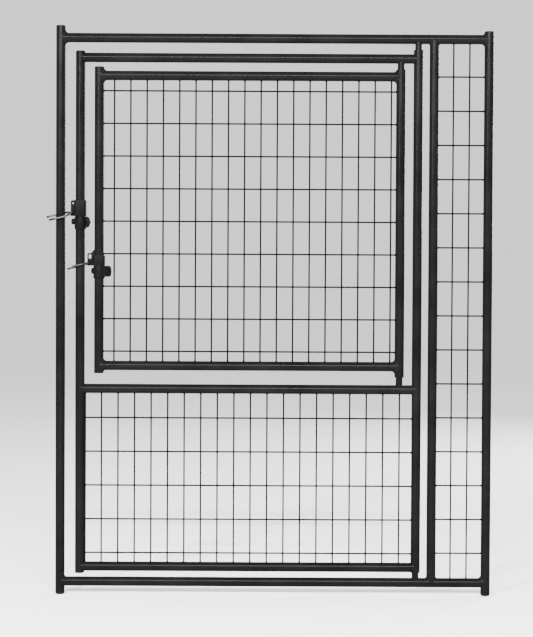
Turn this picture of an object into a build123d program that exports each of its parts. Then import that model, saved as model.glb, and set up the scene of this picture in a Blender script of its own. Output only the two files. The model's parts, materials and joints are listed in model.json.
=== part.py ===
from build123d import *
import os
from math import cos, radians, sqrt, tan

# A wire-filled livestock panel of round tube, with a hinged door and a smaller hatch hinged inside
# the door. Millimetres. Origin: the centre of the left post's foot. +X runs along the panel to the
# right post, +Z is up, and the front faces -Y.

# Tube and wire
TUBE_OD = 28.6
TUBE_WALL = 1.65
PIVOT_OD = 20.6
PIVOT_WALL = 2.0
WIRE_D = 4.9
COPE_TRIM = 4.0  # the thin tips of a coped end are trimmed this far off the other tube's axis

# Outer frame, centre to centre
PANEL_WIDTH = 1288.6
RAIL_SPACING = 1640.6
FOOT_DROP = 38.5
STRIP_WIDTH = 164.8
LEFT_STUB = 21.7  # left post above the top rail's surface
RIGHT_STUB = 9.7

# Clear gaps between neighbouring tubes
DOOR_GAP_LATCH = 30.7
DOOR_GAP_HINGE = 19.2
DOOR_GAP_TOP = 30.5
DOOR_GAP_BOTTOM = 17.3
HATCH_GAP_LATCH = 28.2
HATCH_GAP_HINGE = 23.7
HATCH_GAP_TOP = 25.1
HATCH_GAP_BOTTOM = 41.1
DOOR_LOWER_HEIGHT = 538.8  # door bottom rail to door middle rail, centre to centre

# How far each stile runs past the surface of its rail
DOOR_STILE_OVER = 5.0
DOOR_SLEEVE_TOP = 12.0
DOOR_SLEEVE_BOTTOM = 0.5
HATCH_STILE_TOP = 11.5
HATCH_STILE_BOTTOM = 8.8
HATCH_SLEEVE_TOP = 7.0
HATCH_SLEEVE_BOTTOM = 18.0

# Wire infill: first wire from the tube's surface, then the pitch
HATCH_UPRIGHT_FIRST = 31.6
HATCH_UPRIGHT_PITCH = 49.0
HATCH_CROSS_FIRST = 31.0
HATCH_CROSS_PITCH = 98.1
DOOR_UPRIGHT_FIRST = 51.3
DOOR_UPRIGHT_PITCH = 50.0
DOOR_CROSS_FIRST = 73.7
DOOR_CROSS_PITCH = 102.4
STRIP_UPRIGHT_FIRST = 43.5
STRIP_UPRIGHT_PITCH = 48.5
STRIP_CROSS_FIRST = 97.8
STRIP_CROSS_PITCH = 102.8
WIRE_EDGE = 6.0  # least clear space between the last wire and the tube beyond it

# Hinges: a nylon bush in each end of a sleeve turns on the thinner pivot post
BUSH_LENGTH = 22.0
BUSH_CLEARANCE = 0.08
RING_HEIGHT = 4.0
RING_RECESS = 1.0
RING_SHARE = 0.79  # how much of the space between the pivot post and the sleeve the ring fills

# Plastic plugs
CAP_DOME = 7.0
CAP_DOME_EDGE = 5.5
CAP_FLANGE = 1.5
CAP_INSERT = 12.0

# Weld fillets
WELD_LARGE = 10.0
WELD_MEDIUM = 5.0
WELD_SMALL = 2.5
WELD_ROOT = 0.5
WELD_WIDTH = 0.55  # half the bead's width, as a share of the smaller tube's radius

# Fork latches
HATCH_LATCH_SHARE = 0.354  # height of the hatch's latch, as a share of the hatch's height
HATCH_LATCH_DROP = 28.5  # below the nearest crosswire
LATCH_SPACING = 151.7  # door latch above hatch latch
PLATE = 3.0
STRAP_CORNER = 7.0  # outside radius of the folds where the strap goes round the stile
EAR_SPLIT = 1.0  # gap between the two plates of an ear or a flange
ROD_D = 6.4
ROD_CLEARANCE = 0.08
FORK_CLEAR = 7.2  # from the post's surface to a tine's axis
FORK_SHOULDER = 20.0
FORK_BASE_HALF = 9.0
FORK_BASE_BEND = 5.0
FORK_SHOULDER_BEND = 12.0
FORK_DROOP = 14.0
STOP_GAP = 0.5
STOP_DEPTH = 8.0
RIVET_D = 5.0
RIVET_HEAD_D = 9.0
RIVET_HEAD = 1.6
RIVET_DOME = 0.6  # edge radius, as a share of the head's height
DOOR_RIVET_EDGE = 5.5
DOOR_RIVET_Z = 12.5
HATCH_RIVET_GAP = 0.2
HATCH_RIVET_Z = 4.0
PIVOT_EDGE = 5.5  # fork pivot from the ear's free edge
EAR_TOP_WIDTH = 11.0
EAR_TOP_CORNER = 5.0
EAR_LOW_CORNER = 2.5
STILE_GAP = 0.1  # a plate's edge to the stile it stands against
LIP_BITE = 1.0  # how far the stop lip runs into the strap
DOOR_EAR_PROUD = 11.2  # beyond the strap
DOOR_EAR_TOP = 37.0
DOOR_FRONT_REACH = 73.0
DOOR_REAR_REACH = 83.0
DOOR_FORK_CANT = 6.8
HATCH_EAR_PROUD = 17.7
HATCH_EAR_TOP = 30.0
HATCH_FRONT_REACH = 52.0
HATCH_REAR_REACH = 72.5
HATCH_FORK_CANT = -1.0
HATCH_WRAP_TOP = 23.0
HATCH_SHOULDER_RISE = 10.0
TIP_CHAMFER = 0.45  # share of the rod's radius

# Stop collar below each latch
COLLAR_TOP = -12.0
COLLAR_BOTTOM = -50.0
COLLAR_SMALL_PROUD = 9.7
COLLAR_SMALL_TOP = -18.0
COLLAR_SMALL_BOTTOM = -36.0
DOOR_COLLAR_PROUD = 11.2
HATCH_COLLAR_PROUD = 26.7
DOOR_COLLAR_GAP = 1.54  # strap's lower edge to the collar
HATCH_COLLAR_GAP = 0.64
SMALL_CORNER = 5.0
LARGE_CORNER = 9.0
HEAD_GAP = 0.3  # a bolt head to the band beside it
HEAD_EDGE = 3.0  # a bolt head to the flange's free edge
COLLAR_LARGE_BOTTOM = -45.0
HATCH_COLLAR_TURN = -32.0
SMALL_BOLT_D = 5.0
SMALL_HEAD_AF = 8.0
SMALL_HEAD = 3.5
LARGE_BOLT_D = 8.0
LARGE_HEAD_AF = 13.0
LARGE_HEAD = 5.3
BOLT_CLEARANCE = 0.25
BOLT_PROUD = 3.0
PADLOCK_HOLE_D = 5.5
PADLOCK_HOLE_EDGE = 7.0
PADLOCK_HOLE_DROP = 9.0
PADLOCK_SLOT = (8.5, 14.0)
PADLOCK_SLOT_EDGE = 3.5

# Places worked out from the sizes above
R = TUBE_OD / 2
TUBE_BORE = R - TUBE_WALL
PIVOT_R = PIVOT_OD / 2
WIRE_R = WIRE_D / 2
ROD_R = ROD_D / 2
RIGHT_X = PANEL_WIDTH
MULLION_X = RIGHT_X - STRIP_WIDTH
DOOR_LATCH_X = DOOR_GAP_LATCH + TUBE_OD
DOOR_HINGE_X = MULLION_X - TUBE_OD - DOOR_GAP_HINGE
HATCH_LATCH_X = DOOR_LATCH_X + TUBE_OD + HATCH_GAP_LATCH
HATCH_HINGE_X = DOOR_HINGE_X - TUBE_OD - HATCH_GAP_HINGE
BOTTOM_Z = FOOT_DROP
TOP_Z = BOTTOM_Z + RAIL_SPACING
DOOR_BOTTOM_Z = BOTTOM_Z + TUBE_OD + DOOR_GAP_BOTTOM
DOOR_MID_Z = DOOR_BOTTOM_Z + DOOR_LOWER_HEIGHT
DOOR_TOP_Z = TOP_Z - TUBE_OD - DOOR_GAP_TOP
HATCH_BOTTOM_Z = DOOR_MID_Z + TUBE_OD + HATCH_GAP_BOTTOM
HATCH_TOP_Z = DOOR_TOP_Z - TUBE_OD - HATCH_GAP_TOP
BAND_R = R + PLATE
DOOR_EAR_REACH = BAND_R + DOOR_EAR_PROUD
HATCH_EAR_REACH = BAND_R + HATCH_EAR_PROUD
DOOR_PIVOT_X = PIVOT_EDGE - DOOR_EAR_REACH
HATCH_PIVOT_X = PIVOT_EDGE - HATCH_EAR_REACH
FORK_HALF_WIDTH = R + FORK_CLEAR
COLLAR_SMALL_REACH = BAND_R + COLLAR_SMALL_PROUD
DOOR_COLLAR_REACH = BAND_R + DOOR_COLLAR_PROUD
HATCH_COLLAR_REACH = BAND_R + HATCH_COLLAR_PROUD
HATCH_WIRE_START = HATCH_TOP_Z - R - HATCH_CROSS_FIRST
HATCH_LATCH_WANTED = HATCH_BOTTOM_Z + HATCH_LATCH_SHARE * (HATCH_TOP_Z - HATCH_BOTTOM_Z)
HATCH_LATCH_WIRE = round((HATCH_WIRE_START - HATCH_LATCH_DROP - HATCH_LATCH_WANTED) / HATCH_CROSS_PITCH)
HATCH_LATCH_Z = HATCH_WIRE_START - HATCH_LATCH_WIRE * HATCH_CROSS_PITCH - HATCH_LATCH_DROP
DOOR_LATCH_Z = HATCH_LATCH_Z + LATCH_SPACING


def rod_z(x, y, z0, z1, radius):
    """A solid round bar standing on Z."""
    return Pos(x, y, z0) * extrude(Circle(radius), z1 - z0)


def rod_x(x0, x1, y, z, radius):
    """A solid round bar lying along X."""
    along = Plane(origin=(x0, y, z), x_dir=(0, 1, 0), z_dir=(1, 0, 0))
    return along * extrude(Circle(radius), x1 - x0)


def rod_y(x, z, y0, y1, radius):
    """A solid round bar lying along Y."""
    along = Plane(origin=(x, y0, z), x_dir=(1, 0, 0), z_dir=(0, 1, 0))
    return along * extrude(Circle(radius), y1 - y0)


def tube_z(x, z0, z1, radius=R, wall=TUBE_WALL):
    """An upright tube."""
    return rod_z(x, 0, z0, z1, radius) - rod_z(x, 0, z0, z1, radius - wall)


def rail(x_left, x_right, z):
    """A horizontal tube coped to the upright tube at each end."""
    start = x_left + COPE_TRIM
    end = x_right - COPE_TRIM
    tube = rod_x(start, end, 0, z, R) - rod_x(start, end, 0, z, TUBE_BORE)
    for x in (x_left, x_right):
        tube -= rod_z(x, 0, z - TUBE_OD, z + TUBE_OD, R)
    return largest(tube)


def coped_post(x, z_low, z_high, radius, wall):
    """An upright tube coped to the horizontal tube at each end."""
    start = z_low + COPE_TRIM
    end = z_high - COPE_TRIM
    tube = tube_z(x, start, end, radius, wall)
    for z in (z_low, z_high):
        tube -= rod_x(x - TUBE_OD, x + TUBE_OD, 0, z, R)
    return largest(tube)


def largest(shape):
    """The main solid of a cut that may leave crumbs."""
    return max(shape.solids(), key=lambda solid: solid.volume)


def group(solids):
    """Separate solids kept together as one node."""
    return Compound(children=list(solids))


def places(first, pitch, clear):
    """Offsets of the wires that fit into a clear width."""
    count = int((clear - WIRE_EDGE - WIRE_R - first) / pitch) + 1
    return [first + pitch * n for n in range(count)]


def wire_uprights(x_offsets, x_latch, z_low, z_high):
    """Upright wires between two rails, in front of the crosswires, each coped to the rails."""
    wires = []
    x_end = x_latch + R
    low = rod_x(x_end, x_end + max(x_offsets) + TUBE_OD, 0, z_low, R)
    high = rod_x(x_end, x_end + max(x_offsets) + TUBE_OD, 0, z_high, R)
    for offset in x_offsets:
        wire = rod_z(x_end + offset, -WIRE_R, z_low + R / 2, z_high - R / 2, WIRE_R)
        wires.append(largest(wire - low - high))
    return group(wires)


def crosswires(z_offsets, x_left, x_right, z_high):
    """Crosswires between two upright tubes, behind the upright wires, each coped to the tubes."""
    wires = []
    z_top = z_high - R
    left = rod_z(x_left, 0, z_top - max(z_offsets) - TUBE_OD, z_top, R)
    right = rod_z(x_right, 0, z_top - max(z_offsets) - TUBE_OD, z_top, R)
    for offset in z_offsets:
        wire = rod_x(x_left + R / 2, x_right - R / 2, WIRE_R, z_top - offset, WIRE_R)
        wires.append(largest(wire - left - right))
    return group(wires)


def weld(x, z, side, up, size, post_r=R, rail_r=R):
    """A concave weld fillet in one corner between an upright tube and a horizontal tube."""
    half = WELD_WIDTH * min(post_r, rail_r)
    inset = max(r - sqrt(r * r - half * half) for r in (post_r, rail_r)) + WELD_ROOT
    corner_x = x + side * post_r
    corner_z = z + up * rail_r
    toe_x = (corner_x + side * size, corner_z)
    toe_z = (corner_x, corner_z + up * size)
    middle = 1 - cos(radians(45))
    waist = (corner_x + side * size * middle, corner_z + up * size * middle)
    low_x = (toe_x[0], corner_z - up * inset)
    root = (corner_x - side * inset, corner_z - up * inset)
    low_z = (corner_x - side * inset, toe_z[1])
    with BuildPart() as bead:
        with BuildSketch(Plane.XZ.offset(-half)):
            with BuildLine():
                ThreePointArc(toe_x, waist, toe_z)
                Polyline(toe_z, low_z, root, low_x, toe_x)
            make_face()
        extrude(amount=2 * half)
    reach = 2 * size + 2 * inset + TUBE_OD
    solid = bead.part - rod_z(x, 0, z - reach, z + reach, post_r)
    return largest(solid - rod_x(x - reach, x + reach, 0, z, rail_r))


def corner_welds(joints):
    """Weld fillets for a list of (x, z, sides, ups, size, post radius)."""
    beads = []
    for x, z, sides, ups, size, post_r in joints:
        beads += [weld(x, z, side, up, size, post_r) for side in sides for up in ups]
    return group(beads)


def foot_cap(x):
    """A push-in plug with a rounded foot, under a post."""
    dome = extrude(Circle(R), CAP_DOME)
    dome = fillet(dome.edges().group_by(Axis.Z)[0], CAP_DOME_EDGE)
    plug = Pos(0, 0, CAP_DOME) * extrude(Circle(TUBE_BORE), CAP_INSERT)
    return Pos(x, 0, 0) * (dome + plug)


def flat_cap(x, z, up):
    """A push-in plug with a thin flange, in the open end of a tube."""
    flange = extrude(Circle(R), CAP_FLANGE)
    flange = chamfer(flange.edges().group_by(Axis.Z)[-1], CAP_FLANGE / 2)
    plug = Pos(0, 0, -CAP_INSERT) * extrude(Circle(TUBE_BORE), CAP_INSERT)
    cap = flange + plug
    if up < 0:
        cap = Rot(180, 0, 0) * cap
    return Pos(x, 0, z) * cap


def bush(x, z0):
    """A nylon bush held in the sleeve, turning on the pivot post."""
    outer = rod_z(x, 0, z0, z0 + BUSH_LENGTH, TUBE_BORE)
    return outer - rod_z(x, 0, z0, z0 + BUSH_LENGTH, PIVOT_R + BUSH_CLEARANCE)


def thrust_ring(x, z0):
    """A ring on the pivot post that carries the lower bush."""
    ring_r = PIVOT_R + RING_SHARE * (TUBE_BORE - PIVOT_R)
    outer = rod_z(x, 0, z0, z0 + RING_HEIGHT, ring_r)
    return outer - rod_z(x, 0, z0, z0 + RING_HEIGHT, PIVOT_R)


def plate_y(outline, y0, y1):
    """A flat plate of an XZ outline, from y0 to y1."""
    return Pos(0, y1, 0) * (Plane.XZ * extrude(outline, y1 - y0))


def band(z0, z1):
    """A round band around a stile, before it is split."""
    return rod_z(0, 0, z0, z1, BAND_R) - rod_z(0, 0, z0, z1, R)


def ear_outline(reach, top, bottom, shoulder):
    """An ear's outline in X and Z: shoulder is how high it still meets the stile."""
    inner = -R - STILE_GAP
    with BuildSketch() as ear:
        with BuildLine():
            Polyline(
                (inner, bottom),
                (-reach, bottom),
                (-reach, top),
                (-reach + EAR_TOP_WIDTH, top),
                (inner, shoulder),
                (inner, bottom),
            )
        make_face()
        fillet(ear.vertices().group_by(Axis.X)[0].sort_by(Axis.Y)[-1], EAR_TOP_CORNER)
        fillet(ear.vertices().group_by(Axis.X)[0].sort_by(Axis.Y)[0], EAR_LOW_CORNER)
    return ear.sketch


def stop_top(pivot_x, reach, cant):
    """The height of the stop lip that the front arm of the fork comes down to."""
    along = reach + pivot_x
    slope = tan(radians(FORK_DROOP)) + cant / FORK_SHOULDER
    return -along * slope - ROD_R * sqrt(1 + slope * slope) - STOP_GAP


def strap_bottom(pivot_x, reach, cant):
    """The height of the strap's lower edge, under its stop lip."""
    return stop_top(pivot_x, reach, cant) - PLATE


def latch_strap(pivot_x, reach, top, wrap_top, shoulder, cant, hole, rivet_at):
    """A strap folded square round the stile, whose two ends make a double ear for the fork."""
    lip_top = stop_top(pivot_x, reach, cant)
    bottom = strap_bottom(pivot_x, reach, cant)
    gap = EAR_SPLIT / 2
    outline = ear_outline(reach, top, bottom, shoulder)
    slot = Pos(-BAND_R, 0, 0) * Box(BAND_R * 2, EAR_SPLIT, 4 * BAND_R + 2 * top)
    outside = extrude(RectangleRounded(2 * BAND_R, 2 * BAND_R, STRAP_CORNER), wrap_top - bottom)
    inside = extrude(RectangleRounded(2 * R, 2 * R, STRAP_CORNER - PLATE), wrap_top - bottom)
    body = Pos(0, 0, bottom) * (outside - inside) - slot
    body += plate_y(outline, gap, gap + PLATE) - rod_z(0, 0, bottom, shoulder + top, R)
    body += plate_y(outline, -gap - PLATE, -gap) - rod_z(0, 0, bottom, shoulder + top, R)
    lip = Box(
        reach - BAND_R + LIP_BITE,
        STOP_DEPTH,
        PLATE,
        align=(Align.MIN, Align.MAX, Align.MAX),
    )
    body += Pos(-reach, -gap - PLATE, lip_top) * lip
    through = BAND_R + STOP_DEPTH
    body -= rod_y(pivot_x, 0, -gap - PLATE, gap + PLATE, ROD_R + ROD_CLEARANCE)
    body -= plate_y(hole, -through, through)
    return body - rivet_shank(rivet_at)


def rivet_shank(place):
    """The rivet's shank, from face to face of the ear."""
    x, z = place
    half = EAR_SPLIT / 2 + PLATE
    return rod_y(x, z, -half, half, RIVET_D / 2)


def rivet(place):
    """A rivet with a low domed head on each side of the ear."""
    x, z = place
    half = EAR_SPLIT / 2 + PLATE
    head = extrude(Circle(RIVET_HEAD_D / 2), RIVET_HEAD)
    head = fillet(head.edges().group_by(Axis.Z)[-1], RIVET_HEAD * RIVET_DOME)
    rear = Plane(origin=(x, half, z), x_dir=(1, 0, 0), z_dir=(0, 1, 0)) * head
    front = Plane(origin=(x, -half, z), x_dir=(1, 0, 0), z_dir=(0, -1, 0)) * head
    return rivet_shank(place) + rear + front


def collar_half(reach, front):
    """Half of the two-piece stop collar, with a small flange left and a large one right."""
    gap = EAR_SPLIT / 2
    back = (Align.CENTER, Align.MIN, Align.CENTER)
    keep = Box(4 * BAND_R, 2 * BAND_R, 2 * (COLLAR_TOP - COLLAR_BOTTOM), align=back)
    keep = Pos(0, gap, (COLLAR_TOP + COLLAR_BOTTOM) / 2) * keep
    half = band(COLLAR_BOTTOM, COLLAR_TOP) & keep
    small_mid = (COLLAR_SMALL_TOP + COLLAR_SMALL_BOTTOM) / 2
    inner = R + STILE_GAP
    small = flange_outline(-inner, -COLLAR_SMALL_REACH, COLLAR_SMALL_TOP, COLLAR_SMALL_BOTTOM, SMALL_CORNER)
    large = flange_outline(inner, reach, COLLAR_TOP, COLLAR_LARGE_BOTTOM, LARGE_CORNER)
    bore = rod_z(0, 0, COLLAR_BOTTOM, COLLAR_TOP, R)
    half += plate_y(small, gap, gap + PLATE) - bore
    half += plate_y(large, gap, gap + PLATE) - bore
    half -= rod_y(small_bolt_x(), small_mid, 0, BAND_R, SMALL_BOLT_D / 2 + BOLT_CLEARANCE)
    half -= rod_y(large_bolt_x(reach), large_bolt_z(), 0, BAND_R, LARGE_BOLT_D / 2 + BOLT_CLEARANCE)
    if front:
        half = mirror(half, about=Plane.XZ)
    return half


def flange_outline(x_in, x_out, z_top, z_bottom, corner):
    """A flange's outline in X and Z, rounded at its free end."""
    with BuildSketch() as flange:
        with BuildLine():
            Polyline((x_in, z_bottom), (x_out, z_bottom), (x_out, z_top), (x_in, z_top), close=True)
        make_face()
        far = flange.vertices().group_by(Axis.X)[-1 if x_out > 0 else 0]
        fillet(far, corner)
    return flange.sketch


def small_bolt_x():
    """The small bolt stands just clear of the band, on the left."""
    return -BAND_R - SMALL_HEAD_AF / 2 - HEAD_GAP


def large_bolt_x(reach):
    """The large bolt stands near the flange's free edge, clear of the band."""
    return max(BAND_R + LARGE_HEAD_AF / 2 + HEAD_GAP, reach - LARGE_HEAD_AF / 2 - HEAD_EDGE)


def large_bolt_z():
    """The large bolt is at the middle of its flange."""
    return (COLLAR_TOP + COLLAR_LARGE_BOTTOM) / 2


def bolt(x, z, shank_d, across_flats, head):
    """A hex bolt along Y through both flanges, head at the front."""
    half = EAR_SPLIT / 2 + PLATE
    hexagon = RegularPolygon(across_flats / 2, 6, major_radius=False, rotation=30)
    cap = Plane(origin=(x, -half, z), x_dir=(1, 0, 0), z_dir=(0, -1, 0)) * extrude(hexagon, head)
    return cap + rod_y(x, z, -half, half + head + BOLT_PROUD, shank_d / 2)


def nut(x, z, shank_d, across_flats, height):
    """A hex nut behind both flanges."""
    half = EAR_SPLIT / 2 + PLATE
    hexagon = RegularPolygon(across_flats / 2, 6, major_radius=False, rotation=30)
    body = Plane(origin=(x, half, z), x_dir=(1, 0, 0), z_dir=(0, 1, 0)) * extrude(hexagon, height)
    return body - rod_y(x, z, half, half + height, shank_d / 2)


def fork(front_reach, rear_reach, cant):
    """A fork bent from one rod: its base is the pivot and its tines pass either side of a post."""
    points = [
        (-rear_reach, FORK_HALF_WIDTH, cant),
        (-FORK_SHOULDER, FORK_HALF_WIDTH, cant),
        (0, FORK_BASE_HALF, 0),
        (0, -FORK_BASE_HALF, 0),
        (-FORK_SHOULDER, -FORK_HALF_WIDTH, -cant),
        (-front_reach, -FORK_HALF_WIDTH, -cant),
    ]
    bends = [FORK_SHOULDER_BEND, FORK_BASE_BEND, FORK_BASE_BEND, FORK_SHOULDER_BEND]
    path = FilletPolyline(*points, radius=bends)
    section = Plane(origin=points[0], z_dir=(1, 0, 0)) * Circle(ROD_R)
    rod = sweep(section, path=path)
    for tip, y in ((-rear_reach, FORK_HALF_WIDTH), (-front_reach, -FORK_HALF_WIDTH)):
        point = (tip, y, cant * y / FORK_HALF_WIDTH)
        end = rod.edges().filter_by(GeomType.CIRCLE).sort_by_distance(point)[0]
        rod = chamfer(end, ROD_R * TIP_CHAMFER)
    return Rot(0, -FORK_DROOP, 0) * rod


def save(name, shape, x=0.0, z=0.0):
    """Write one node, moved to its place on the panel."""
    export_step(Pos(x, 0, z) * shape, f"parts/{name}.step")


def make_frame():
    left_top = TOP_Z + R + LEFT_STUB
    right_top = TOP_Z + R + RIGHT_STUB
    save("left_post", tube_z(0, CAP_DOME, left_top - CAP_FLANGE))
    save("right_post", tube_z(RIGHT_X, CAP_DOME, right_top - CAP_FLANGE))
    save("mullion_post", coped_post(MULLION_X, BOTTOM_Z, TOP_Z, R, TUBE_WALL))
    save("top_rail", rail(0, RIGHT_X, TOP_Z))
    save("bottom_rail", rail(0, RIGHT_X, BOTTOM_Z))
    save("door_pivot_post", coped_post(DOOR_HINGE_X, BOTTOM_Z, TOP_Z, PIVOT_R, PIVOT_WALL))
    ring_z = DOOR_BOTTOM_Z - R - DOOR_SLEEVE_BOTTOM + RING_RECESS
    save("door_thrust_ring", thrust_ring(DOOR_HINGE_X, ring_z))
    clear = STRIP_WIDTH - TUBE_OD
    uprights = places(STRIP_UPRIGHT_FIRST, STRIP_UPRIGHT_PITCH, clear)
    cross = places(STRIP_CROSS_FIRST, STRIP_CROSS_PITCH, RAIL_SPACING - TUBE_OD)
    save("strip_mesh_uprights", wire_uprights(uprights, MULLION_X, BOTTOM_Z, TOP_Z))
    save("strip_mesh_crosswires", crosswires(cross, MULLION_X, RIGHT_X, TOP_Z))
    both = (-1, 1)
    joints = [
        (0, TOP_Z, (1,), both, WELD_LARGE, R),
        (RIGHT_X, TOP_Z, (-1,), (-1,), WELD_LARGE, R),
        (RIGHT_X, TOP_Z, (-1,), (1,), min(WELD_LARGE, RIGHT_STUB - CAP_FLANGE - WELD_ROOT), R),
        (0, BOTTOM_Z, (1,), (1,), WELD_MEDIUM, R),
        (0, BOTTOM_Z, (1,), (-1,), WELD_SMALL, R),
        (RIGHT_X, BOTTOM_Z, (-1,), (1,), WELD_LARGE, R),
        (RIGHT_X, BOTTOM_Z, (-1,), (-1,), WELD_SMALL, R),
        (MULLION_X, TOP_Z, both, (-1,), WELD_MEDIUM, R),
        (MULLION_X, BOTTOM_Z, both, (1,), WELD_MEDIUM, R),
        (DOOR_HINGE_X, TOP_Z, both, (-1,), WELD_SMALL, PIVOT_R),
        (DOOR_HINGE_X, BOTTOM_Z, both, (1,), WELD_SMALL, PIVOT_R),
    ]
    save("frame_weld_fillets", corner_welds(joints))
    save("post_foot_caps", group([foot_cap(0), foot_cap(RIGHT_X)]))
    caps = [flat_cap(0, left_top - CAP_FLANGE, 1), flat_cap(RIGHT_X, right_top - CAP_FLANGE, 1)]
    save("post_top_caps", group(caps))


def make_door():
    top = DOOR_TOP_Z + R + DOOR_STILE_OVER - CAP_FLANGE
    bottom = DOOR_BOTTOM_Z - R - DOOR_STILE_OVER + CAP_FLANGE
    sleeve_top = DOOR_TOP_Z + R + DOOR_SLEEVE_TOP
    sleeve_bottom = DOOR_BOTTOM_Z - R - DOOR_SLEEVE_BOTTOM
    save("door_latch_stile", tube_z(DOOR_LATCH_X, bottom, top))
    save("door_hinge_sleeve", tube_z(DOOR_HINGE_X, sleeve_bottom, sleeve_top))
    save("door_top_rail", rail(DOOR_LATCH_X, DOOR_HINGE_X, DOOR_TOP_Z))
    save("door_middle_rail", rail(DOOR_LATCH_X, DOOR_HINGE_X, DOOR_MID_Z))
    save("door_bottom_rail", rail(DOOR_LATCH_X, DOOR_HINGE_X, DOOR_BOTTOM_Z))
    save("door_bush_upper", bush(DOOR_HINGE_X, sleeve_top - BUSH_LENGTH - RING_RECESS))
    save("door_bush_lower", bush(DOOR_HINGE_X, sleeve_bottom + RING_RECESS + RING_HEIGHT))
    save("hatch_pivot_post", coped_post(HATCH_HINGE_X, DOOR_MID_Z, DOOR_TOP_Z, PIVOT_R, PIVOT_WALL))
    ring_z = HATCH_BOTTOM_Z - R - HATCH_SLEEVE_BOTTOM + RING_RECESS
    save("hatch_thrust_ring", thrust_ring(HATCH_HINGE_X, ring_z))
    uprights = places(DOOR_UPRIGHT_FIRST, DOOR_UPRIGHT_PITCH, DOOR_HINGE_X - DOOR_LATCH_X - TUBE_OD)
    cross = places(DOOR_CROSS_FIRST, DOOR_CROSS_PITCH, DOOR_LOWER_HEIGHT - TUBE_OD)
    edge_wire = [WIRE_R]
    upright_wires = wire_uprights(edge_wire + uprights, DOOR_LATCH_X, DOOR_BOTTOM_Z, DOOR_MID_Z)
    save("door_mesh_uprights", upright_wires)
    save("door_mesh_crosswires", crosswires(cross, DOOR_LATCH_X, DOOR_HINGE_X, DOOR_MID_Z))
    both = (-1, 1)
    joints = [
        (DOOR_LATCH_X, DOOR_TOP_Z, (1,), both, WELD_SMALL, R),
        (DOOR_HINGE_X, DOOR_TOP_Z, (-1,), both, WELD_SMALL, R),
        (DOOR_LATCH_X, DOOR_MID_Z, (1,), (1,), WELD_SMALL, R),
        (DOOR_HINGE_X, DOOR_MID_Z, (-1,), both, WELD_SMALL, R),
        (DOOR_LATCH_X, DOOR_BOTTOM_Z, (1,), (-1,), WELD_SMALL, R),
        (DOOR_HINGE_X, DOOR_BOTTOM_Z, (-1,), (1,), WELD_SMALL, R),
        (HATCH_HINGE_X, DOOR_TOP_Z, both, (-1,), WELD_SMALL, PIVOT_R),
        (HATCH_HINGE_X, DOOR_MID_Z, both, (1,), WELD_SMALL, PIVOT_R),
    ]
    save("door_weld_fillets", corner_welds(joints))
    caps = [flat_cap(DOOR_LATCH_X, top, 1), flat_cap(DOOR_LATCH_X, bottom, -1)]
    save("door_stile_caps", group(caps))


def make_hatch():
    top = HATCH_TOP_Z + R + HATCH_STILE_TOP - CAP_FLANGE
    bottom = HATCH_BOTTOM_Z - R - HATCH_STILE_BOTTOM + CAP_FLANGE
    sleeve_top = HATCH_TOP_Z + R + HATCH_SLEEVE_TOP
    sleeve_bottom = HATCH_BOTTOM_Z - R - HATCH_SLEEVE_BOTTOM
    save("hatch_latch_stile", tube_z(HATCH_LATCH_X, bottom, top))
    save("hatch_hinge_sleeve", tube_z(HATCH_HINGE_X, sleeve_bottom, sleeve_top))
    save("hatch_top_rail", rail(HATCH_LATCH_X, HATCH_HINGE_X, HATCH_TOP_Z))
    save("hatch_bottom_rail", rail(HATCH_LATCH_X, HATCH_HINGE_X, HATCH_BOTTOM_Z))
    save("hatch_bush_upper", bush(HATCH_HINGE_X, sleeve_top - BUSH_LENGTH - RING_RECESS))
    save("hatch_bush_lower", bush(HATCH_HINGE_X, sleeve_bottom + RING_RECESS + RING_HEIGHT))
    clear = HATCH_HINGE_X - HATCH_LATCH_X - TUBE_OD
    uprights = places(HATCH_UPRIGHT_FIRST, HATCH_UPRIGHT_PITCH, clear)
    cross = places(HATCH_CROSS_FIRST, HATCH_CROSS_PITCH, HATCH_TOP_Z - HATCH_BOTTOM_Z - TUBE_OD)
    save("hatch_mesh_uprights", wire_uprights(uprights, HATCH_LATCH_X, HATCH_BOTTOM_Z, HATCH_TOP_Z))
    save("hatch_mesh_crosswires", crosswires(cross, HATCH_LATCH_X, HATCH_HINGE_X, HATCH_TOP_Z))
    both = (-1, 1)
    joints = [
        (HATCH_LATCH_X, HATCH_TOP_Z, (1,), both, WELD_LARGE, R),
        (HATCH_HINGE_X, HATCH_TOP_Z, (-1,), (-1,), WELD_LARGE, R),
        (HATCH_HINGE_X, HATCH_TOP_Z, (-1,), (1,), min(WELD_LARGE, HATCH_SLEEVE_TOP - WELD_ROOT), R),
        (HATCH_LATCH_X, HATCH_BOTTOM_Z, (1,), (1,), WELD_LARGE, R),
        (HATCH_LATCH_X, HATCH_BOTTOM_Z, (1,), (-1,), HATCH_STILE_BOTTOM - CAP_FLANGE - WELD_ROOT, R),
        (HATCH_HINGE_X, HATCH_BOTTOM_Z, (-1,), both, WELD_LARGE, R),
    ]
    save("hatch_weld_fillets", corner_welds(joints))
    caps = [flat_cap(HATCH_LATCH_X, top, 1), flat_cap(HATCH_LATCH_X, bottom, -1)]
    save("hatch_stile_caps", group(caps))


def make_latch(name, x, z, strap, rivet_at, fork_piece):
    """The strap, rivet and fork of one latch."""
    save(f"{name}_latch_strap", strap, x, z)
    save(f"{name}_latch_rivet", rivet(rivet_at), x, z)
    save(f"{name}_latch_fork", fork_piece, x, z)


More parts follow.
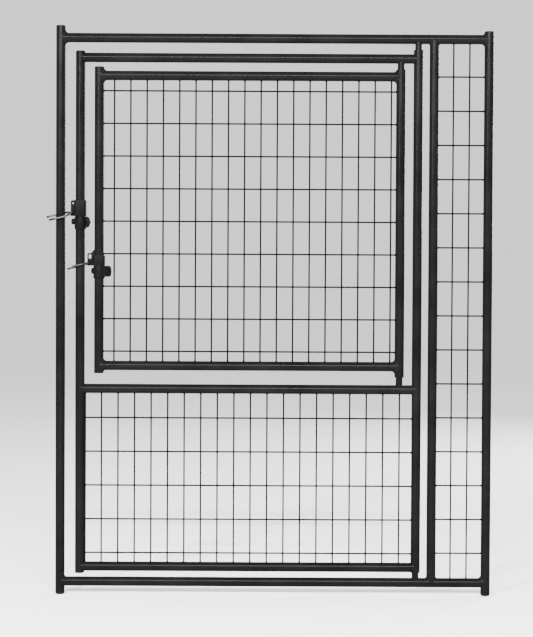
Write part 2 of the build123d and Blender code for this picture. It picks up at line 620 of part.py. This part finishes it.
def make_collar(name, x, z, reach, turn):
    """The two-piece stop collar under one latch, with its bolts and nuts."""
    spin = Rot(0, 0, turn)
    save(f"{name}_collar_front", spin * collar_half(reach, True), x, z)
    save(f"{name}_collar_rear", spin * collar_half(reach, False), x, z)
    small_z = (COLLAR_SMALL_TOP + COLLAR_SMALL_BOTTOM) / 2
    small = (small_bolt_x(), small_z, SMALL_BOLT_D, SMALL_HEAD_AF, SMALL_HEAD)
    large = (large_bolt_x(reach), large_bolt_z(), LARGE_BOLT_D, LARGE_HEAD_AF, LARGE_HEAD)
    save(f"{name}_collar_bolts", spin * group([bolt(*small), bolt(*large)]), x, z)
    save(f"{name}_collar_nuts", spin * group([nut(*small), nut(*large)]), x, z)


def make_door_latch():
    hole_x = PADLOCK_HOLE_EDGE - DOOR_EAR_REACH
    hole = Pos(hole_x, DOOR_EAR_TOP - PADLOCK_HOLE_DROP) * Circle(PADLOCK_HOLE_D / 2)
    rivet_at = (DOOR_RIVET_EDGE - DOOR_EAR_REACH, DOOR_RIVET_Z)
    top = DOOR_EAR_TOP
    strap = latch_strap(DOOR_PIVOT_X, DOOR_EAR_REACH, top, top, top, DOOR_FORK_CANT, hole, rivet_at)
    rod = Pos(DOOR_PIVOT_X, 0, 0) * fork(DOOR_FRONT_REACH, DOOR_REAR_REACH, DOOR_FORK_CANT)
    make_latch("door", DOOR_LATCH_X, DOOR_LATCH_Z, strap, rivet_at, rod)
    edge = strap_bottom(DOOR_PIVOT_X, DOOR_EAR_REACH, DOOR_FORK_CANT)
    collar_z = DOOR_LATCH_Z + edge - DOOR_COLLAR_GAP - COLLAR_TOP
    make_collar("door", DOOR_LATCH_X, collar_z, DOOR_COLLAR_REACH, 0)


def make_hatch_latch():
    slot_x = -HATCH_EAR_REACH + PADLOCK_SLOT[0] / 2 + PADLOCK_SLOT_EDGE
    slot_z = HATCH_EAR_TOP - PADLOCK_SLOT[1] / 2 - PADLOCK_SLOT_EDGE
    slot = Pos(slot_x, slot_z) * SlotOverall(PADLOCK_SLOT[1], PADLOCK_SLOT[0], rotation=90)
    rivet_at = (-BAND_R - RIVET_HEAD_D / 2 - HATCH_RIVET_GAP, HATCH_RIVET_Z)
    shoulder = HATCH_EAR_TOP + HATCH_SHOULDER_RISE
    ear = (HATCH_PIVOT_X, HATCH_EAR_REACH, HATCH_EAR_TOP, HATCH_WRAP_TOP, shoulder)
    strap = latch_strap(*ear, HATCH_FORK_CANT, slot, rivet_at)
    rod = Pos(HATCH_PIVOT_X, 0, 0) * fork(HATCH_FRONT_REACH, HATCH_REAR_REACH, HATCH_FORK_CANT)
    make_latch("hatch", HATCH_LATCH_X, HATCH_LATCH_Z, strap, rivet_at, rod)
    edge = strap_bottom(HATCH_PIVOT_X, HATCH_EAR_REACH, HATCH_FORK_CANT)
    collar_z = HATCH_LATCH_Z + edge - HATCH_COLLAR_GAP - COLLAR_TOP
    make_collar("hatch", HATCH_LATCH_X, collar_z, HATCH_COLLAR_REACH, HATCH_COLLAR_TURN)


os.makedirs("parts", exist_ok=True)
make_frame()
make_door()
make_hatch()
make_door_latch()
make_hatch_latch()
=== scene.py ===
import json
import math
import bmesh
import bpy
from mathutils import Matrix, Vector


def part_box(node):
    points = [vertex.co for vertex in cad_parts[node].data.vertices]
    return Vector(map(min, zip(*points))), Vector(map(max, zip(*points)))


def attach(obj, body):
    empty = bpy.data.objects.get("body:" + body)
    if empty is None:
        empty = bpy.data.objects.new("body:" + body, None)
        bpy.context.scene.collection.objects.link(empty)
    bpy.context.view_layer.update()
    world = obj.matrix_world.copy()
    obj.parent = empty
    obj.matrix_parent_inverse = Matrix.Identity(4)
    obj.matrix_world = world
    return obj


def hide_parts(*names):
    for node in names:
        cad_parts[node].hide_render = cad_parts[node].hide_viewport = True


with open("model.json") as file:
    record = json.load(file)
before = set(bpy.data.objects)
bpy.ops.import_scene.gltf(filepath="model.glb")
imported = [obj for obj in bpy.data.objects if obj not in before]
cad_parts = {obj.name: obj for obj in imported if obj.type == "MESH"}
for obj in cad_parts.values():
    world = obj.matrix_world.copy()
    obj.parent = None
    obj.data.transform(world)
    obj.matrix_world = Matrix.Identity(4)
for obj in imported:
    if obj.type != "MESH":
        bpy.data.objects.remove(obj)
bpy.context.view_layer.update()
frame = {"nodes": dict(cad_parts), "record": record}

# A black tube-and-wire pen panel with a hinged door and a hatch inside the door. Metres, row frame.
MM = 0.001
JOINT_AT = {j["name"]: Vector(j["pos_m"]) for j in frame["record"]["behaviour"]["joints"]}


# ---------- camera, light and floor ----------

SENSOR = 36.0
LENS = 84.229827
CAMERA_AT = Vector((0.6172, -4.5, 0.9311))
CAMERA_YAW = 0.0011
CAMERA_PITCH = -0.0209
CAMERA_ROLL = 0.0049

FLOOR_HALF = 14.0
FLOOR_DROP = 0.5 * MM
FLOOR_WHITE = 0.93
SURROUND_STRENGTH = 1.2
PANEL_MIDDLE = (0.64, 0, 0.9)
# name, place, width and height, power in watts
LIGHTS = [
    ("strip_left", (-1.9, -4.2, 2.7), (0.35, 2.2), 620),
    ("strip_high", (0.64, -5.2, 2.95), (3.4, 0.2), 1700),
    ("back_right", (4.3, 4.0, 2.4), (0.6, 2.4), 420),
]


def make_camera():
    """A camera a little above the panel's middle, tipped slightly down."""
    data = bpy.data.cameras.new("camera")
    data.sensor_width = SENSOR
    data.lens = LENS
    camera = bpy.data.objects.new("camera", data)
    bpy.context.collection.objects.link(camera)
    ahead = Vector((
        math.sin(CAMERA_YAW) * math.cos(CAMERA_PITCH),
        math.cos(CAMERA_YAW) * math.cos(CAMERA_PITCH),
        math.sin(CAMERA_PITCH),
    ))
    level = Vector((math.cos(CAMERA_YAW), -math.sin(CAMERA_YAW), 0))
    above = level.cross(ahead)
    right = level * math.cos(CAMERA_ROLL) + above * math.sin(CAMERA_ROLL)
    up = above * math.cos(CAMERA_ROLL) - level * math.sin(CAMERA_ROLL)
    turn = Matrix((right, up, -ahead)).transposed()
    camera.matrix_world = Matrix.Translation(CAMERA_AT) @ turn.to_4x4()
    bpy.context.scene.camera = camera


def soft_light(name, place, target, size, power):
    """A rectangular soft light aimed at a point."""
    data = bpy.data.lights.new(name, "AREA")
    data.shape = "RECTANGLE"
    data.size, data.size_y = size
    data.energy = power
    light = bpy.data.objects.new(name, data)
    light.location = place
    light.rotation_mode = "QUATERNION"
    light.rotation_quaternion = (Vector(target) - Vector(place)).to_track_quat("-Z", "Y")
    bpy.context.collection.objects.link(light)


def make_studio():
    """A pale floor, a pale surround and soft lights."""
    floor = bpy.data.meshes.new("studio_floor")
    half = FLOOR_HALF
    corners = [(-half, -half, 0), (half, -half, 0), (half, half, 0), (-half, half, 0)]
    floor.from_pydata(corners, [], [(0, 1, 2, 3)])
    piece = bpy.data.objects.new("studio_floor", floor)
    piece.location = (PANEL_MIDDLE[0], 0, -FLOOR_DROP)
    bpy.context.collection.objects.link(piece)
    pale = bpy.data.materials.new("pale_floor")
    pale.use_nodes = True
    shader = pale.node_tree.nodes["Principled BSDF"]
    shader.inputs["Base Color"].default_value = (FLOOR_WHITE, FLOOR_WHITE, FLOOR_WHITE, 1)
    shader.inputs["Roughness"].default_value = 0.9
    shader.inputs["Specular IOR Level"].default_value = 0.1
    floor.materials.append(pale)
    world = bpy.data.worlds.new("surround")
    bpy.context.scene.world = world
    world.use_nodes = True
    world.node_tree.nodes["Background"].inputs["Color"].default_value = (1, 1, 1, 1)
    world.node_tree.nodes["Background"].inputs["Strength"].default_value = SURROUND_STRENGTH
    for name, place, size, power in LIGHTS:
        soft_light(name, place, PANEL_MIDDLE, size, power)


# ---------- materials ----------

# texture scales, in cells per metre
PATCH_SCALE = 9.0
SPECK_SCALE = 420.0
PEEL_SCALE = 900.0
WAVE_SCALE = 160.0
BLOTCH_SCALE = 130.0
SCRATCH_STRETCH = (40, 900, 900)
MOULD_SCALE = 30.0
SPARK_SCALE = 1500.0

FINE_DEPTH = 0.2 * MM
WAVE_DEPTH = 0.4 * MM
TIP_FADE = 4 * MM


def shader_tree(name):
    """A new material with object coordinates ready for textures: (material, tree, shader, coordinates)."""
    material = bpy.data.materials.new(name)
    material.use_nodes = True
    tree = material.node_tree
    shader = tree.nodes["Principled BSDF"]
    place = tree.nodes.new("ShaderNodeTexCoord")
    return material, tree, shader, place.outputs["Object"]


def noise(tree, at, scale, detail=4.0):
    """Soft noise between 0 and 1."""
    texture = tree.nodes.new("ShaderNodeTexNoise")
    texture.inputs["Scale"].default_value = scale
    texture.inputs["Detail"].default_value = detail
    texture.inputs["Roughness"].default_value = 0.55
    tree.links.new(at, texture.inputs["Vector"])
    return texture.outputs["Fac"]


def ramp(tree, value, stops):
    """A colour ramp through (position, colour) stops."""
    node = tree.nodes.new("ShaderNodeValToRGB")
    elements = node.color_ramp.elements
    while len(elements) < len(stops):
        elements.new(0.5)
    for element, (position, colour) in zip(elements, stops):
        element.position = position
        element.color = (*colour, 1)
    tree.links.new(value, node.inputs["Fac"])
    return node.outputs["Color"]


def span(tree, value, low, high, from_low=0.3, from_high=0.7):
    """A value mapped onto the range low to high."""
    node = tree.nodes.new("ShaderNodeMapRange")
    node.inputs["From Min"].default_value = from_low
    node.inputs["From Max"].default_value = from_high
    node.inputs["To Min"].default_value = low
    node.inputs["To Max"].default_value = high
    tree.links.new(value, node.inputs["Value"])
    return node.outputs["Result"]


def bump(tree, shader, value, strength, distance):
    """Adds relief to a shader, over any relief it has already."""
    node = tree.nodes.new("ShaderNodeBump")
    node.inputs["Strength"].default_value = strength
    node.inputs["Distance"].default_value = distance
    tree.links.new(value, node.inputs["Height"])
    previous = shader.inputs["Normal"]
    if previous.is_linked:
        tree.links.new(previous.links[0].from_socket, node.inputs["Normal"])
    tree.links.new(node.outputs["Normal"], shader.inputs["Normal"])


def coated_metal(name, dark, light, rough, peel, dust, shine):
    """Satin powder coat: fine orange peel, slow gloss changes, faint dusty scuffs."""
    material, tree, shader, at = shader_tree(name)
    patches = noise(tree, at, PATCH_SCALE)
    colour = ramp(tree, patches, [(0.3, dark), (0.75, light)])
    specks = noise(tree, at, SPECK_SCALE, detail=2.0)
    mix = tree.nodes.new("ShaderNodeMix")
    mix.data_type = "RGBA"
    dusty = tuple(c + 0.05 * dust for c in light)
    mix.inputs[7].default_value = (*dusty, 1)
    tree.links.new(colour, mix.inputs[6])
    tree.links.new(span(tree, specks, 0.0, 0.5 * dust, 0.62, 0.8), mix.inputs["Factor"])
    tree.links.new(mix.outputs[2], shader.inputs["Base Color"])
    tree.links.new(span(tree, patches, rough - 0.06, rough + 0.08), shader.inputs["Roughness"])
    bump(tree, shader, noise(tree, at, PEEL_SCALE, detail=2.0), peel, FINE_DEPTH)
    bump(tree, shader, noise(tree, at, WAVE_SCALE, detail=3.0), peel * 0.6, WAVE_DEPTH)
    shader.inputs["Specular IOR Level"].default_value = shine
    return material


def bare_metal(name, dark, light, rough, grain, tips=None):
    """Dull plated or darkened steel with mottled plating and drawn scratches; tips darkens a fork's ends."""
    material, tree, shader, at = shader_tree(name)
    shader.inputs["Metallic"].default_value = 0.9
    blotches = noise(tree, at, BLOTCH_SCALE, detail=6.0)
    plating = ramp(tree, blotches, [(0.3, dark), (0.55, light), (0.8, dark)])
    if tips is None:
        tree.links.new(plating, shader.inputs["Base Color"])
    else:
        # Near-black colour blended in by position along the rod, so the fork gets darker towards its ends.
        slant = tree.nodes.new("ShaderNodeVectorMath")
        slant.operation = "DOT_PRODUCT"
        slant.inputs[1].default_value = (1, 0.5, 0)
        tree.links.new(at, slant.inputs[0])
        tip_darkening = tree.nodes.new("ShaderNodeMix")
        tip_darkening.data_type = "RGBA"
        tip_darkening.inputs[6].default_value = (0.004, 0.004, 0.004, 1)
        tree.links.new(plating, tip_darkening.inputs[7])
        fade = span(tree, slant.outputs["Value"], 0.0, 1.0, tips - TIP_FADE, tips + TIP_FADE)
        tree.links.new(fade, tip_darkening.inputs["Factor"])
        tree.links.new(tip_darkening.outputs[2], shader.inputs["Base Color"])
    stretch = tree.nodes.new("ShaderNodeMapping")
    stretch.inputs["Scale"].default_value = SCRATCH_STRETCH
    tree.links.new(at, stretch.inputs["Vector"])
    scratches = noise(tree, stretch.outputs["Vector"], 1.0, detail=3.0)
    tree.links.new(span(tree, scratches, rough - 0.1, rough + 0.15), shader.inputs["Roughness"])
    bump(tree, shader, scratches, grain, FINE_DEPTH)
    bump(tree, shader, blotches, grain * 0.5, WAVE_DEPTH)
    return material


def moulded(name, dark, light, rough):
    """Moulded plastic with a fine spark-eroded texture."""
    material, tree, shader, at = shader_tree(name)
    colour = ramp(tree, noise(tree, at, MOULD_SCALE), [(0.3, dark), (0.7, light)])
    tree.links.new(colour, shader.inputs["Base Color"])
    grain = noise(tree, at, SPARK_SCALE, detail=2.0)
    tree.links.new(span(tree, grain, rough - 0.05, rough + 0.05), shader.inputs["Roughness"])
    bump(tree, shader, grain, 0.25, FINE_DEPTH)
    shader.inputs["Specular IOR Level"].default_value = 0.02
    return material


def make_materials():
    """One material for each material slot of the record, and one for weld metal under the coat."""
    return {
        "coated_tube": coated_metal(
            "coated_tube", (0.0022, 0.0022, 0.0024), (0.0042, 0.0042, 0.0045),
            rough=0.2, peel=0.12, dust=0.06, shine=0.016),
        "coated_wire": coated_metal(
            "coated_wire", (0.001, 0.001, 0.0011), (0.002, 0.002, 0.0022),
            rough=0.4, peel=0.15, dust=0.03, shine=0.01),
        "weld_metal": coated_metal(
            "weld_metal", (0.0022, 0.0022, 0.0024), (0.0048, 0.0048, 0.005),
            rough=0.25, peel=0.25, dust=0.06, shine=0.02),
        "latch_black": coated_metal(
            "latch_black", (0.0016, 0.0016, 0.0017), (0.0038, 0.0037, 0.0036),
            rough=0.4, peel=0.35, dust=0.1, shine=0.01),
        "cap_plastic": moulded("cap_plastic", (0.003, 0.003, 0.0032), (0.006, 0.006, 0.0064), rough=0.5),
        "nylon": moulded("nylon", (0.5, 0.49, 0.45), (0.62, 0.61, 0.57), rough=0.45),
        "bare_ring": bare_metal("bare_ring", (0.2, 0.2, 0.2), (0.38, 0.38, 0.38), rough=0.4, grain=0.2),
        "zinc_rod": bare_metal(
            "zinc_rod", (0.018, 0.016, 0.0142), (0.045, 0.0405, 0.036),
            rough=0.42, grain=0.35, tips=-27 * MM),
        "dark_rod": bare_metal(
            "dark_rod", (0.008, 0.0077, 0.0074), (0.024, 0.0232, 0.0222), rough=0.45, grain=0.35),
    }


# ---------- mesh helpers ----------

SAME_POINT = 0.02 * MM
TINY_EDGE = 0.01 * MM


def add_piece(name, mesh, body, material):
    """Links a mesh as a smooth piece that rides on a body."""
    for polygon in mesh.polygons:
        polygon.use_smooth = True
    piece = bpy.data.objects.new(name, mesh)
    bpy.context.collection.objects.link(piece)
    mesh.materials.clear()
    mesh.materials.append(material)
    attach(piece, body)
    return piece


def mesh_of(name, verts, faces):
    """A clean mesh: doubles merged, normals outward."""
    mesh = bpy.data.meshes.new(name)
    mesh.from_pydata(verts, [], faces)
    work = bmesh.new()
    work.from_mesh(mesh)
    bmesh.ops.remove_doubles(work, verts=work.verts, dist=SAME_POINT)
    bmesh.ops.dissolve_degenerate(work, edges=work.edges, dist=TINY_EDGE)
    bmesh.ops.recalc_face_normals(work, faces=work.faces)
    work.to_mesh(mesh)
    work.free()
    return mesh


def extend(verts, faces, more_verts, more_faces):
    """Adds one mesh's points and faces to another's."""
    base = len(verts)
    verts += more_verts
    faces += [tuple(base + i for i in face) for face in more_faces]


def skin(rings):
    """Quads that join rings of equal length, and one face across each end."""
    count = len(rings[0])
    verts = [v for ring in rings for v in ring]
    faces = []
    for k in range(len(rings) - 1):
        for i in range(count):
            j = (i + 1) % count
            faces.append((k * count + i, k * count + j, (k + 1) * count + j, (k + 1) * count + i))
    faces.append(tuple(reversed(range(count))))
    faces.append(tuple((len(rings) - 1) * count + i for i in range(count)))
    return verts, faces


def tube_at(node):
    """A straight tube's middle and radius, from its box: (centre, radius)."""
    low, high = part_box(node)
    radius = min(high[i] - low[i] for i in range(3)) / 2
    return (low + high) / 2, radius


# ---------- weld fillets ----------

SEAM_STEPS = 64
ARC_STEPS = 8
RIPPLE_PITCH = 1.7 * MM
RIPPLE_HEIGHT = 0.14 * MM
ROOT_SINK = 0.5 * MM
PARALLEL = 1e-4


def fillet_seam(x, z, side, up, size, post_r, rail_r):
    """The surface a ball of radius size leaves as it rolls in the corner of two crossing tubes."""
    reach = post_r + size
    rings = []
    for k in range(SEAM_STEPS + 1):
        along = -math.pi / 2 + math.pi * k / SEAM_STEPS
        y = reach * math.sin(along)
        px = math.sqrt(max(reach * reach - y * y, 0))
        pz = math.sqrt(max((rail_r + size) ** 2 - y * y, 0))
        centre = Vector((px, y, pz))
        to_post = -Vector((px, y, 0)).normalized()
        to_rail = -Vector((0, y, pz)).normalized()
        wave = math.cos(2 * math.pi * y / RIPPLE_PITCH) * RIPPLE_HEIGHT * math.cos(along)
        ring = []
        for a in range(ARC_STEPS + 1):
            t = a / ARC_STEPS
            ray = to_post
            if to_post.angle(to_rail) > PARALLEL:
                ray = to_post.slerp(to_rail, t)
            lift = wave * math.sin(math.pi * t)
            ring.append(centre + ray * (size - lift))
        ky = y * post_r / reach
        sunk_post = max(post_r * post_r - ky * ky, 0)
        sunk_rail = max(rail_r * rail_r - ky * ky, 0)
        ring.append(Vector((math.sqrt(sunk_post) - ROOT_SINK, ky, math.sqrt(sunk_rail) - ROOT_SINK)))
        rings.append([Vector((x + side * v.x, v.y, z + up * v.z)) for v in ring])
    return skin(rings)


def make_welds(node, body, joints, materials):
    """Replaces one body's plain weld solids with smooth, rippled fillets."""
    verts, faces = [], []
    for post, rail, sides, ups, size in joints:
        post_middle, post_r = tube_at(post)
        rail_middle, rail_r = tube_at(rail)
        for side in sides:
            for up in ups:
                seam = fillet_seam(post_middle.x, rail_middle.z, side, up, size, post_r, rail_r)
                extend(verts, faces, *seam)
    mesh = mesh_of(f"{body}_weld_beads", verts, faces)
    piece = add_piece(mesh.name, mesh, body, materials["weld_metal"])
    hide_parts(node)


BOTH = (-1, 1)
LARGE = 10.0 * MM
BROAD = 7.5 * MM
MIDDLING = 6.5 * MM
MEDIUM = 5.5 * MM
SMALL = 1.5 * MM
# post, rail, sides of the post, above or below the rail, fillet radius
WELDS = {
    "frame": [
        ("left_post", "top_rail", (1,), BOTH, LARGE),
        ("right_post", "top_rail", (-1,), (-1,), LARGE),
        ("right_post", "top_rail", (-1,), (1,), BROAD),
        ("left_post", "bottom_rail", (1,), (1,), MEDIUM),
        ("left_post", "bottom_rail", (1,), (-1,), SMALL),
        ("right_post", "bottom_rail", (-1,), (1,), LARGE),
        ("right_post", "bottom_rail", (-1,), (-1,), SMALL),
        ("mullion_post", "top_rail", BOTH, (-1,), MEDIUM),
        ("mullion_post", "bottom_rail", BOTH, (1,), MEDIUM),
        ("door_pivot_post", "top_rail", BOTH, (-1,), SMALL),
        ("door_pivot_post", "bottom_rail", BOTH, (1,), SMALL),
    ],
    "door": [
        ("door_latch_stile", "door_top_rail", (1,), BOTH, SMALL),
        ("door_hinge_sleeve", "door_top_rail", (-1,), BOTH, SMALL),
        ("door_latch_stile", "door_middle_rail", (1,), BOTH, SMALL),
        ("door_hinge_sleeve", "door_middle_rail", (-1,), BOTH, SMALL),
        ("door_latch_stile", "door_bottom_rail", (1,), BOTH, SMALL),
        ("door_hinge_sleeve", "door_bottom_rail", (-1,), (1,), SMALL),
        ("hatch_pivot_post", "door_top_rail", BOTH, (-1,), SMALL),
        ("hatch_pivot_post", "door_middle_rail", BOTH, (1,), SMALL),
    ],
    "hatch": [
        ("hatch_latch_stile", "hatch_top_rail", (1,), BOTH, LARGE),
        ("hatch_hinge_sleeve", "hatch_top_rail", (-1,), (-1,), LARGE),
        ("hatch_hinge_sleeve", "hatch_top_rail", (-1,), (1,), MIDDLING),
        ("hatch_latch_stile", "hatch_bottom_rail", (1,), (1,), LARGE),
        ("hatch_latch_stile", "hatch_bottom_rail", (1,), (-1,), MIDDLING),
        ("hatch_hinge_sleeve", "hatch_bottom_rail", (-1,), BOTH, LARGE),
    ],
}


# ---------- welds of the wire infill ----------

NUGGET_SIDES = 12
FLARE_SIDES = 14
# distance along and radius, in wire radii
NUGGET = ((-0.62, 0.35), (-0.5, 0.95), (-0.2, 1.22), (0.0, 1.28), (0.2, 1.22), (0.5, 0.95), (0.62, 0.35))
FLARE = ((-0.6, 1.9), (0.1, 1.75), (0.35, 1.45), (0.7, 1.2), (1.2, 1.07), (1.7, 1.01), (1.9, 0.8))


def wires_of(node, axis):
    """The wires of an infill node, as (place across, place along start, place along end)."""
    mesh = frame["nodes"][node].data
    work = bmesh.new()
    work.from_mesh(mesh)
    bmesh.ops.remove_doubles(work, verts=work.verts, dist=TINY_EDGE)
    across = 0 if axis == 2 else 2
    found, seen = [], set()
    for vert in work.verts:
        if vert.index in seen:
            continue
        stack, members = [vert], []
        seen.add(vert.index)
        while stack:
            one = stack.pop()
            members.append(one.co.copy())
            for edge in one.link_edges:
                other = edge.other_vert(one)
                if other.index not in seen:
                    seen.add(other.index)
                    stack.append(other)
        low = min(m[across] for m in members)
        high = max(m[across] for m in members)
        found.append(((low + high) / 2, min(m[axis] for m in members), max(m[axis] for m in members)))
    work.free()
    return sorted(found)


def lathe(profile, sides, origin, direction):
    """A profile of (distance along, radius) turned about a direction, closed at both ends."""
    direction = Vector(direction).normalized()
    across = direction.orthogonal().normalized()
    other = direction.cross(across)
    rings = []
    for along, radius in profile:
        ring = []
        for k in range(sides):
            turn = 2 * math.pi * k / sides
            ray = across * math.cos(turn) + other * math.sin(turn)
            ring.append(origin + direction * along + ray * radius)
        rings.append(ring)
    return skin(rings)


def make_wire_welds(body, uprights, cross, materials):
    """Squeezed weld nuggets where wires cross, and small flares where they meet the tubes."""
    verts, faces = [], []
    low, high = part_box(uprights)
    wire_r = (high.y - low.y) / 2
    standing = wires_of(uprights, 2)
    lying = wires_of(cross, 0)
    nugget = [(wire_r * a, wire_r * b) for a, b in NUGGET]
    for x, _, _ in standing:
        for z, start, end in lying:
            if start < x < end:
                extend(verts, faces, *lathe(nugget, NUGGET_SIDES, Vector((x, 0, z)), (0, 1, 0)))
    flare = [(wire_r * a, wire_r * b) for a, b in FLARE]
    for x, start, end in standing:
        extend(verts, faces, *lathe(flare, FLARE_SIDES, Vector((x, -wire_r, start)), (0, 0, 1)))
        extend(verts, faces, *lathe(flare, FLARE_SIDES, Vector((x, -wire_r, end)), (0, 0, -1)))
    for z, start, end in lying:
        extend(verts, faces, *lathe(flare, FLARE_SIDES, Vector((start, wire_r, z)), (1, 0, 0)))
        extend(verts, faces, *lathe(flare, FLARE_SIDES, Vector((end, wire_r, z)), (-1, 0, 0)))
    name = f"{uprights.split('_')[0]}_wire_welds"
    add_piece(name, mesh_of(name, verts, faces), body, materials["coated_wire"])


# ---------- latches ----------

FLAT_ANGLE = math.radians(1.0)
SHARP_ANGLE = math.radians(35)
PLATE_EDGE = 0.5 * MM
BOLT_EDGE = 0.4 * MM


def softened(node, body, width, material):
    """A copy of a CAD node with worn, rounded edges, which replaces it."""
    mesh = frame["nodes"][node].data.copy()
    mesh.name = f"{node}_formed"
    work = bmesh.new()
    work.from_mesh(mesh)
    bmesh.ops.remove_doubles(work, verts=work.verts, dist=TINY_EDGE)
    bmesh.ops.dissolve_limit(work, angle_limit=FLAT_ANGLE, verts=work.verts, edges=work.edges)
    bmesh.ops.recalc_face_normals(work, faces=work.faces)
    work.to_mesh(mesh)
    work.free()
    piece = add_piece(f"{node}_formed", mesh, body, material)
    edge = piece.modifiers.new("worn_edges", "BEVEL")
    edge.width = width
    edge.segments = 3
    edge.limit_method = "ANGLE"
    edge.angle_limit = SHARP_ANGLE
    edge.harden_normals = True
    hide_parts(node)


BEND_STEP = 0.8 * MM
RING_STEP = 1.2 * MM
ROD_SIDES = 20
BLUNT = 0.8
TIP_FLOOR = 0.04
# height and pace of the hammered unevenness along a rod, in rod radii
DENTS = ((0.018, 4.07), (0.012, 6.37))


def bend_path(points, bends):
    """Straight runs joined by arcs, as closely spaced points."""
    line = [points[0]]
    for k in range(1, len(points) - 1):
        before = (points[k - 1] - points[k]).normalized()
        after = (points[k + 1] - points[k]).normalized()
        half = before.angle(after) / 2
        back = bends[k - 1] / math.tan(half)
        start, end = points[k] + before * back, points[k] + after * back
        centre = points[k] + (before + after).normalized() * bends[k - 1] / math.sin(half)
        a, b = start - centre, end - centre
        count = max(4, int(a.angle(b) * bends[k - 1] / BEND_STEP))
        for n in range(count + 1):
            line.append(centre + a.normalized().slerp(b.normalized(), n / count) * bends[k - 1])
    line.append(points[-1])
    return line


def rod_mesh(name, path, radius):
    """A bent rod with blunt rounded tips and a slightly uneven thickness."""
    lengths = [0.0]
    for a, b in zip(path, path[1:]):
        lengths.append(lengths[-1] + (b - a).length)
    total = lengths[-1]
    samples = []
    count = int(total / RING_STEP)
    k = 0
    for n in range(count + 1):
        want = total * n / count
        while k < len(lengths) - 2 and lengths[k + 1] < want:
            k += 1
        t = (want - lengths[k]) / max(lengths[k + 1] - lengths[k], 1e-9)
        samples.append(path[k].lerp(path[k + 1], min(max(t, 0), 1)))
    rings = []
    ahead = (samples[1] - samples[0]).normalized()
    across = ahead.orthogonal().normalized()
    for n, point in enumerate(samples):
        new = (samples[min(n + 1, count)] - samples[max(n - 1, 0)]).normalized()
        across = (across - new * across.dot(new)).normalized()
        other = new.cross(across)
        from_end = min(n, count - n) * total / count
        tip = math.sqrt(max(TIP_FLOOR, 1 - max(0, 1 - from_end / (radius * BLUNT)) ** 2))
        along = from_end / radius
        dent = 1 + sum(height * math.sin(pace * along) for height, pace in DENTS)
        ring = []
        for s in range(ROD_SIDES):
            turn = 2 * math.pi * s / ROD_SIDES
            ring.append(point + (across * math.cos(turn) + other * math.sin(turn)) * radius * tip * dent)
        rings.append(ring)
    return mesh_of(name, *skin(rings))


FORK_HALF_WIDTH = 21.5 * MM
FORK_SHOULDER = 20.0 * MM
FORK_BASE_HALF = 9.0 * MM
FORK_BENDS = (12.0 * MM, 5.0 * MM, 5.0 * MM, 12.0 * MM)
FORK_DROOP = math.radians(14.0)
FORK_ROD_R = 3.2 * MM


def make_fork(node, body, joint, front, rear, cant, material):
    """The bent rod fork, drooping from its pivot, in place of the CAD rod."""
    corners = [
        Vector((-rear, FORK_HALF_WIDTH, cant)),
        Vector((-FORK_SHOULDER, FORK_HALF_WIDTH, cant)),
        Vector((0, FORK_BASE_HALF, 0)),
        Vector((0, -FORK_BASE_HALF, 0)),
        Vector((-FORK_SHOULDER, -FORK_HALF_WIDTH, -cant)),
        Vector((-front, -FORK_HALF_WIDTH, -cant)),
    ]
    droop = Matrix.Rotation(-FORK_DROOP, 3, "Y")
    path = [JOINT_AT[joint] + droop @ p for p in bend_path(corners, FORK_BENDS)]
    piece = add_piece(f"{node}_rod", rod_mesh(f"{node}_rod", path, FORK_ROD_R), body, material)
    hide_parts(node)


def make_latches(materials):
    black = materials["latch_black"]
    for leaf in ("door", "hatch"):
        for part in ("latch_strap", "collar_front", "collar_rear"):
            softened(f"{leaf}_{part}", leaf, PLATE_EDGE, black)
        for part in ("collar_bolts", "collar_nuts"):
            softened(f"{leaf}_{part}", leaf, BOLT_EDGE, black)
    make_fork("door_latch_fork", "door_fork", "door_fork_lift",
              73.0 * MM, 83.0 * MM, 6.8 * MM, materials["zinc_rod"])
    make_fork("hatch_latch_fork", "hatch_fork", "hatch_fork_lift",
              52.0 * MM, 72.5 * MM, -1.0 * MM, materials["dark_rod"])


def dress_nodes(materials):
    """Gives every carried-over CAD node the material of its slot."""
    slots = {s["node"]: s["material_slot"] for s in frame["record"]["subparts"]}
    for name, piece in frame["nodes"].items():
        piece.data.materials.clear()
        piece.data.materials.append(materials[slots[name]])


make_camera()
make_studio()
finishes = make_materials()
dress_nodes(finishes)
make_welds("frame_weld_fillets", "frame", WELDS["frame"], finishes)
make_welds("door_weld_fillets", "door", WELDS["door"], finishes)
make_welds("hatch_weld_fillets", "hatch", WELDS["hatch"], finishes)
make_wire_welds("frame", "strip_mesh_uprights", "strip_mesh_crosswires", finishes)
make_wire_welds("door", "door_mesh_uprights", "door_mesh_crosswires", finishes)
make_wire_welds("hatch", "hatch_mesh_uprights", "hatch_mesh_crosswires", finishes)
make_latches(finishes)
